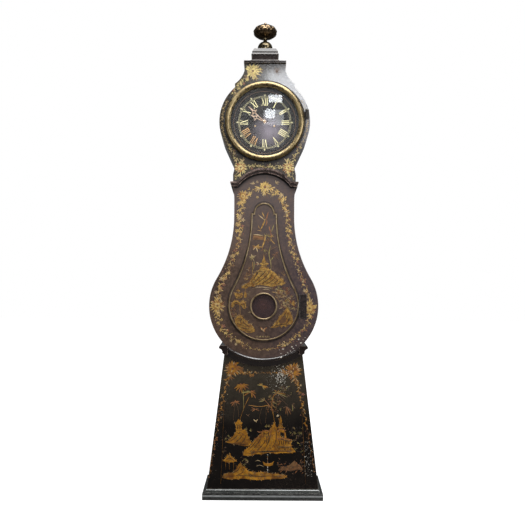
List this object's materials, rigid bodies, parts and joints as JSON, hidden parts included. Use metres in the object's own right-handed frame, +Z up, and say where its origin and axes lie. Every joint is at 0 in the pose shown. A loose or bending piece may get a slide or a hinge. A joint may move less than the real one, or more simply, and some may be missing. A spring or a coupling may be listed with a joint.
{
  "type": "longcase clock",
  "caption": "Waisted longcase clock with a flared base, round glazed belly door, round hood with a gilt-ringed black dial, hinged doors, weights, pendulum and a finial.",
  "frame": {"origin": "on the floor, under the middle of the plinth's width and depth", "axes": "+Z up, -Y towards the front where the dial is, +X to the right as seen from the front"},
  "size_m": [0.552, 0.25, 2.2254],
  "materials": {
    "lacquer": "aged black japanned lacquer, brownish, with raised gilt decoration, semi-gloss, worn edges",
    "base_lacquer": "aged black japanned lacquer, nearer black, semi-gloss, fine cracks",
    "bare_wood": "plain planed pine, darkened by age, matt",
    "gilt": "old gilding over a dark ground, satin, rubbed in the hollows",
    "dark_glass": "clear flat glass with a dark case behind it",
    "clear_glass": "clear domed glass, polished",
    "dial_black": "black painted dial with gilt numerals, satin",
    "iron": "black iron, dull",
    "brass": "polished clock brass, lightly toned",
    "steel": "plain steel, brushed",
    "gut": "gut line, matt"
  },
  "bodies": {
    "case": {"plinth_step": "base_lacquer", "plinth_bead": "base_lacquer", "base_front": "base_lacquer", "base_sides": "base_lacquer", "backboard": "bare_wood", "trunk_front": "lacquer", "trunk_side_left": "lacquer", "trunk_side_right": "lacquer", "waist_moulding_lower": "lacquer", "waist_moulding_upper": "lacquer", "cheeks": "bare_wood", "seatboard": "bare_wood", "trunk_hinge_plate": "iron", "dial": "dial_black", "front_plate": "brass", "back_plate": "brass", "pillars": "brass", "pendulum_cock": "brass", "bell": "brass", "bell_stand": "steel"},
    "trunk_door": {"trunk_door": "lacquer", "door_bead": "gilt", "window_ring": "gilt", "window_glass": "dark_glass", "trunk_hinge_leaf": "iron"},
    "hood": {"hood_front": "lacquer", "hood_side_left": "lacquer", "hood_side_right": "lacquer", "hood_cornice": "lacquer", "hood_pedestal": "lacquer", "hood_cap": "lacquer", "finial_foot": "gilt", "finial_ball": "gilt", "bezel_hinge_plate": "iron", "bezel_catch": "iron"},
    "dial_door": {"bezel_ring": "gilt", "dial_glass": "clear_glass", "bezel_hinge_leaf": "iron"},
    "minute": {"centre_wheel": "brass", "cannon_pinion": "brass", "minute_hand": "gilt"},
    "hour": {"hour_wheel": "brass", "hour_hand": "gilt"},
    "motion": {"minute_wheel": "brass"},
    "going_great": {"going_great_wheel": "brass"},
    "third": {"third_wheel": "brass"},
    "escape": {"escape_wheel": "brass"},
    "strike_great": {"strike_great_wheel": "brass"},
    "fly_arbor": {"fly": "brass"},
    "going_weight": {"going_weight": "iron", "going_line": "gut"},
    "going_barrel": {"going_barrel": "brass"},
    "strike_weight": {"strike_weight": "iron", "strike_line": "gut"},
    "strike_barrel": {"strike_barrel": "brass"},
    "pendulum": {"pendulum_rod": "steel"},
    "anchor": {"anchor": "steel"},
    "bob": {"pendulum_bob": "brass"},
    "rating_nut": {"rating_nut": "brass"},
    "hammer": {"hammer": "steel"}
  },
  "joints": [
    {"name": "trunk_door_swing", "type": "hinge", "parent": "case", "child": "trunk_door", "pos_m": [0.1643, -0.101, 0.88408], "axis": [0, 0, 1], "range_deg": [0, 110]},
    {"name": "hood_draw", "type": "slide", "parent": "case", "child": "hood", "axis": [0, -1, 0], "range_m": [0, 0.24]},
    {"name": "dial_door_swing", "type": "hinge", "parent": "hood", "child": "dial_door", "pos_m": [0.189, -0.104, 1.76757], "axis": [0, 0, 1], "range_deg": [0, 110]},
    {"name": "minute_turn", "type": "hinge", "parent": "case", "child": "minute", "pos_m": [0, -0.0932, 1.73357], "axis": [0, 1, 0], "continuous": true},
    {"name": "hour_turn", "type": "hinge", "parent": "case", "child": "hour", "pos_m": [0, -0.0897, 1.73357], "axis": [0, 1, 0], "continuous": true},
    {"name": "minute_wheel_turn", "type": "hinge", "parent": "case", "child": "motion", "pos_m": [0, -0.0562, 1.68557], "axis": [0, 1, 0], "continuous": true},
    {"name": "going_great_turn", "type": "hinge", "parent": "case", "child": "going_great", "pos_m": [0.04398, 0.0078, 1.71757], "axis": [0, 1, 0], "continuous": true},
    {"name": "third_turn", "type": "hinge", "parent": "case", "child": "third", "pos_m": [0, -0.0022, 1.75737], "axis": [0, 1, 0], "continuous": true},
    {"name": "escape_turn", "type": "hinge", "parent": "case", "child": "escape", "pos_m": [0, -0.0332, 1.77942], "axis": [0, 1, 0], "continuous": true},
    {"name": "strike_great_turn", "type": "hinge", "parent": "case", "child": "strike_great", "pos_m": [-0.04398, 0.0028, 1.71757], "axis": [0, 1, 0], "continuous": true},
    {"name": "fly_turn", "type": "hinge", "parent": "case", "child": "fly_arbor", "pos_m": [-0.03198, 0.0028, 1.76234], "axis": [0, 1, 0], "continuous": true},
    {"name": "going_weight_lift", "type": "slide", "parent": "case", "child": "going_weight", "axis": [0, 0, 1], "range_m": [0, 1.15], "deforming": ["going_line"]},
    {"name": "going_barrel_turn", "type": "hinge", "parent": "case", "child": "going_barrel", "pos_m": [0.04398, -0.0162, 1.71757], "axis": [0, 1, 0], "range_deg": [-5, 2839]},
    {"name": "strike_weight_lift", "type": "slide", "parent": "case", "child": "strike_weight", "axis": [0, 0, 1], "range_m": [0, 1.15], "deforming": ["strike_line"]},
    {"name": "strike_barrel_turn", "type": "hinge", "parent": "case", "child": "strike_barrel", "pos_m": [-0.04398, -0.0162, 1.71757], "axis": [0, 1, 0], "range_deg": [-5, 2839]},
    {"name": "pendulum_swing", "type": "hinge", "parent": "case", "child": "pendulum", "pos_m": [0, 0.0368, 1.81942], "axis": [0, 1, 0], "range_deg": [-2.5, 2.5]},
    {"name": "anchor_rock", "type": "hinge", "parent": "case", "child": "anchor", "pos_m": [0, -0.0332, 1.81942], "axis": [0, 1, 0], "range_deg": [-2.6, 2.6]},
    {"name": "bob_shift", "type": "slide", "parent": "pendulum", "child": "bob", "axis": [0, 0, 1], "range_m": [-0.003, 0.003]},
    {"name": "rating_nut_turn", "type": "hinge", "parent": "bob", "child": "rating_nut", "pos_m": [0, 0.0368, 0.82208], "axis": [0, 0, 1], "range_deg": [-1085, 1085]},
    {"name": "hammer_fall", "type": "hinge", "parent": "case", "child": "hammer", "pos_m": [-0.05, -0.0162, 1.80557], "axis": [0, 1, 0], "range_deg": [-12, 5], "stiffness_Nm_per_rad": 0.05}
  ],
  "couplings": [
    {"joint": "hour_turn", "follows": "minute_turn", "ratio": 0.083333},
    {"joint": "minute_wheel_turn", "follows": "minute_turn", "ratio": -0.33333},
    {"joint": "going_great_turn", "follows": "minute_turn", "ratio": -0.083333},
    {"joint": "third_turn", "follows": "minute_turn", "ratio": -7.5},
    {"joint": "escape_turn", "follows": "minute_turn", "ratio": 60},
    {"joint": "fly_turn", "follows": "strike_great_turn", "ratio": -13.714},
    {"joint": "going_barrel_turn", "follows": "going_weight_lift", "rad_per_m": 43.011},
    {"joint": "strike_barrel_turn", "follows": "strike_weight_lift", "rad_per_m": 43.011},
    {"joint": "anchor_rock", "follows": "pendulum_swing", "ratio": 1},
    {"joint": "rating_nut_turn", "follows": "bob_shift", "rad_per_m": 6283.2}
  ]
}
